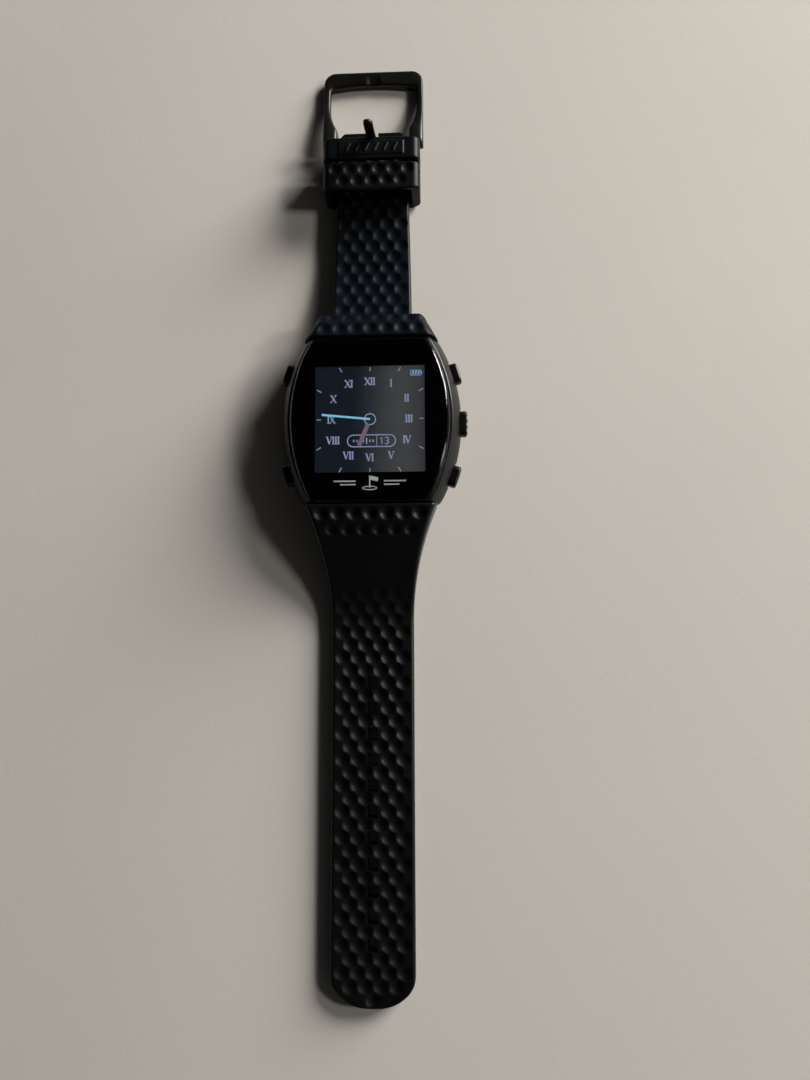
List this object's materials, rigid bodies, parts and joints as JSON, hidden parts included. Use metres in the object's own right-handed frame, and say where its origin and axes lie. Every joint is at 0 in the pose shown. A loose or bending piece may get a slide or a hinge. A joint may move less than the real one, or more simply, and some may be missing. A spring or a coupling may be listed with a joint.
{
  "type": "golf gps watch",
  "caption": "Golf GPS watch with a square display in a tonneau case, side push buttons and a dimpled rubber strap with a pin buckle, laid out open.",
  "frame": {"origin": "centre of the flat case back", "axes": "+X to 3 o'clock, +Y to 12 o'clock along the strap, +Z out of the display"},
  "size_m": [0.0461, 0.2366, 0.02],
  "materials": {
    "case_black": "black polycarbonate, satin, fine grain",
    "front_glass": "polished glass, black printed border over the display",
    "seal_rubber": "soft black silicone",
    "lcd": "dark grey liquid crystal display",
    "backlight": "white light guide",
    "flex_film": "amber polyimide film",
    "chassis": "black moulded frame",
    "board": "green solder mask",
    "steel": "stainless steel",
    "tin": "tinned sheet",
    "antenna_ceramic": "dielectric ceramic",
    "battery_foil": "foil pouch",
    "foam": "dense black foam",
    "buzzer_black": "black moulded case",
    "gold": "gold plated",
    "cover_black": "black glass-filled nylon, matt",
    "button_black": "black, satin",
    "strap_rubber": "black resin rubber with moulded dimples, satin",
    "strap_rubber_navy": "blue-black resin rubber with moulded dimples, satin",
    "keeper_rubber": "black resin rubber, satin",
    "buckle_black": "black plated steel, satin"
  },
  "bodies": {
    "head": {"case_body": "case_black", "front_glass": "front_glass", "glass_seal": "seal_rubber", "lcd_panel": "lcd", "lcd_backlight": "backlight", "display_flex": "flex_film", "inner_chassis": "chassis", "main_board": "board", "board_screws": "steel", "shield_can": "tin", "gps_antenna": "antenna_ceramic", "battery": "battery_foil", "battery_pad": "foam", "vibration_motor": "steel", "buzzer": "buzzer_black", "tact_switches": "tin", "charging_contacts": "gold", "rear_cover": "cover_black", "rear_gasket": "seal_rubber", "rear_screws": "steel", "lug_pin_upper": "steel", "lug_pin_lower": "steel", "button_seals": "seal_rubber", "strap_short_lug_end": "strap_rubber_navy", "strap_long_lug_end": "strap_rubber"},
    "button_right_upper": {"button_right_upper": "button_black"},
    "button_right_middle": {"button_right_middle": "button_black"},
    "button_right_lower": {"button_right_lower": "button_black"},
    "button_left_upper": {"button_left_upper": "button_black"},
    "button_left_lower": {"button_left_lower": "button_black"},
    "short_first": {"strap_short_first": "strap_rubber_navy"},
    "short_second": {"strap_short_second": "strap_rubber_navy"},
    "short_end": {"strap_short_buckle_end": "strap_rubber_navy", "keeper_fixed": "keeper_rubber"},
    "keeper": {"keeper_sliding": "keeper_rubber"},
    "buckle": {"buckle_frame": "buckle_black", "buckle_pin": "steel"},
    "tongue": {"buckle_tongue": "buckle_black"},
    "long_first": {"strap_long_first": "strap_rubber"},
    "long_second": {"strap_long_second": "strap_rubber"},
    "long_third": {"strap_long_third": "strap_rubber"},
    "long_fourth": {"strap_long_fourth": "strap_rubber"},
    "long_tip": {"strap_long_tip": "strap_rubber"}
  },
  "joints": [
    {"name": "band_long_curl", "type": "hinge", "parent": "long_first", "child": "long_second", "pos_m": [0, -0.0573, 0.0017], "axis": [1, 0, 0], "range_deg": [-8, 36]},
    {"name": "band_long_curl_b", "type": "hinge", "parent": "long_second", "child": "long_third", "pos_m": [0, -0.0784, 0.0017], "axis": [1, 0, 0], "range_deg": [-8, 36]},
    {"name": "band_long_curl_c", "type": "hinge", "parent": "long_third", "child": "long_fourth", "pos_m": [0, -0.0966, 0.0017], "axis": [1, 0, 0], "range_deg": [-8, 36]},
    {"name": "band_long_curl_d", "type": "hinge", "parent": "long_fourth", "child": "long_tip", "pos_m": [0, -0.1147, 0.0017], "axis": [1, 0, 0], "range_deg": [-8, 36]},
    {"name": "band_long_lug", "type": "hinge", "parent": "head", "child": "long_first", "pos_m": [0, -0.038, 0.00362], "axis": [1, 0, 0], "range_deg": [-8, 45]},
    {"name": "band_short_curl", "type": "hinge", "parent": "short_first", "child": "short_second", "pos_m": [0, 0.04, 0.00364], "axis": [-1, 0, 0], "range_deg": [-8, 40]},
    {"name": "band_short_curl_b", "type": "hinge", "parent": "short_second", "child": "short_end", "pos_m": [0, 0.05, 0.0032], "axis": [-1, 0, 0], "range_deg": [-8, 40]},
    {"name": "band_short_lug", "type": "hinge", "parent": "head", "child": "short_first", "pos_m": [0, 0.03, 0.0054], "axis": [-1, 0, 0], "range_deg": [-8, 45]},
    {"name": "buckle_swing", "type": "hinge", "parent": "short_end", "child": "buckle", "pos_m": [0, 0.0774, 0.0032], "axis": [-1, 0, 0], "range_deg": [-75, 30]},
    {"name": "buckle_tongue", "type": "hinge", "parent": "short_end", "child": "tongue", "pos_m": [0, 0.0774, 0.0032], "axis": [-1, 0, 0], "range_deg": [0, 106]},
    {"name": "keeper_slide", "type": "slide", "parent": "short_end", "child": "keeper", "axis": [0, -1, 0], "range_m": [0, 0.008]},
    {"name": "press_right_upper", "type": "slide", "parent": "head", "child": "button_right_upper", "axis": [-0.9554, -0.2954, 0], "range_m": [0, 0.0006], "stiffness_N_per_m": 1500},
    {"name": "press_right_middle", "type": "slide", "parent": "head", "child": "button_right_middle", "axis": [-1, 0.0097, 0], "range_m": [0, 0.0006], "stiffness_N_per_m": 1500},
    {"name": "press_right_lower", "type": "slide", "parent": "head", "child": "button_right_lower", "axis": [-0.9459, 0.3245, 0], "range_m": [0, 0.0006], "stiffness_N_per_m": 1500},
    {"name": "press_left_upper", "type": "slide", "parent": "head", "child": "button_left_upper", "axis": [0.9523, -0.3051, 0], "range_m": [0, 0.0006], "stiffness_N_per_m": 1500},
    {"name": "press_left_lower", "type": "slide", "parent": "head", "child": "button_left_lower", "axis": [0.9523, 0.3051, 0], "range_m": [0, 0.0006], "stiffness_N_per_m": 1500}
  ],
  "couplings": [
    {"joint": "band_long_curl_b", "follows": "band_long_curl", "ratio": 1},
    {"joint": "band_long_curl_c", "follows": "band_long_curl", "ratio": 1},
    {"joint": "band_long_curl_d", "follows": "band_long_curl", "ratio": 1},
    {"joint": "band_short_curl_b", "follows": "band_short_curl", "ratio": 1}
  ]
}
